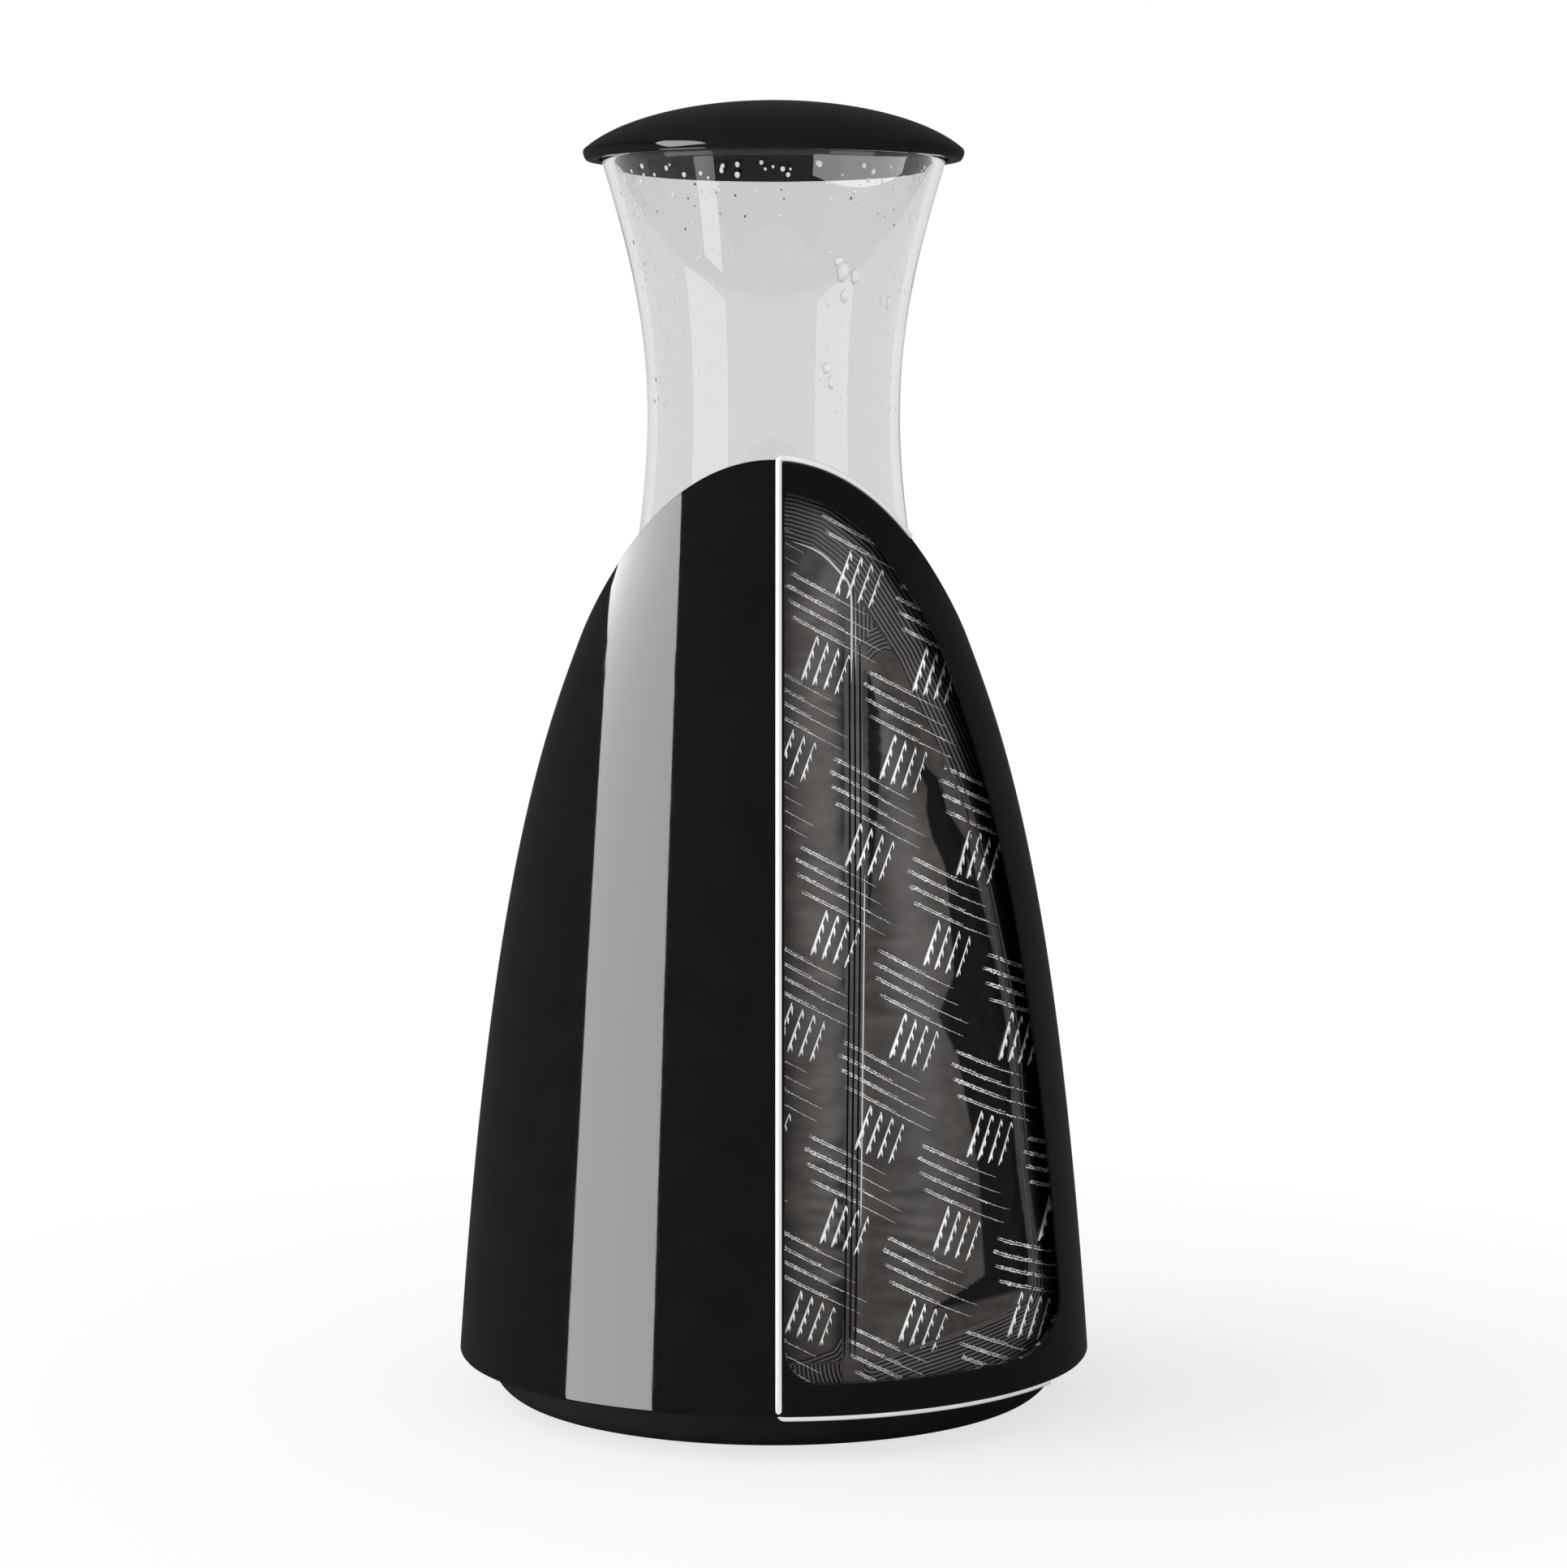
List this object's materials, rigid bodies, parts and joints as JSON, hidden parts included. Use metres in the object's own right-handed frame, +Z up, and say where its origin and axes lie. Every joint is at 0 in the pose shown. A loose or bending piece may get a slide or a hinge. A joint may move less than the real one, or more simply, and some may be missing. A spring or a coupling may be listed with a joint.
{
  "type": "cooling pitcher",
  "caption": "Cooling pitcher: flared glass carafe in a booted base, gel ice packs round it under an oblique gloss bell cover shown cut open, and a domed lift-off lid.",
  "frame": {"origin": "centre of the foot ring's flat underside, on the surface that the pitcher stands on", "axes": "+Z up along the carafe's axis, -Y towards the viewer, where the cover's tip is, +X to the viewer's right"},
  "size_m": [0.144, 0.144, 0.2922],
  "materials": {
    "gloss_black": "polished",
    "boot_rubber": "matte",
    "inner_black": "matte",
    "clear_glass": "clear",
    "rest_silicone": "satin",
    "pouch_film": "gloss",
    "plug_plum": "satin",
    "seal_plum": "satin"
  },
  "bodies": {
    "base": {"base_boot": "boot_rubber", "base_cup": "inner_black", "glass_rest": "rest_silicone", "carafe": "clear_glass", "ice_core_front": "pouch_film", "ice_core_back": "pouch_film"},
    "cover": {"cover": "gloss_black"},
    "lid": {"lid_cap": "gloss_black", "lid_plug": "plug_plum", "lid_seal": "seal_plum"}
  },
  "joints": [
    {"name": "cover_lift", "type": "slide", "parent": "base", "child": "cover", "axis": [0, 0, 1], "range_m": [0, 0.04]},
    {"name": "lid_lift", "type": "slide", "parent": "base", "child": "lid", "axis": [0, 0, 1], "range_m": [0, 0.12]}
  ]
}
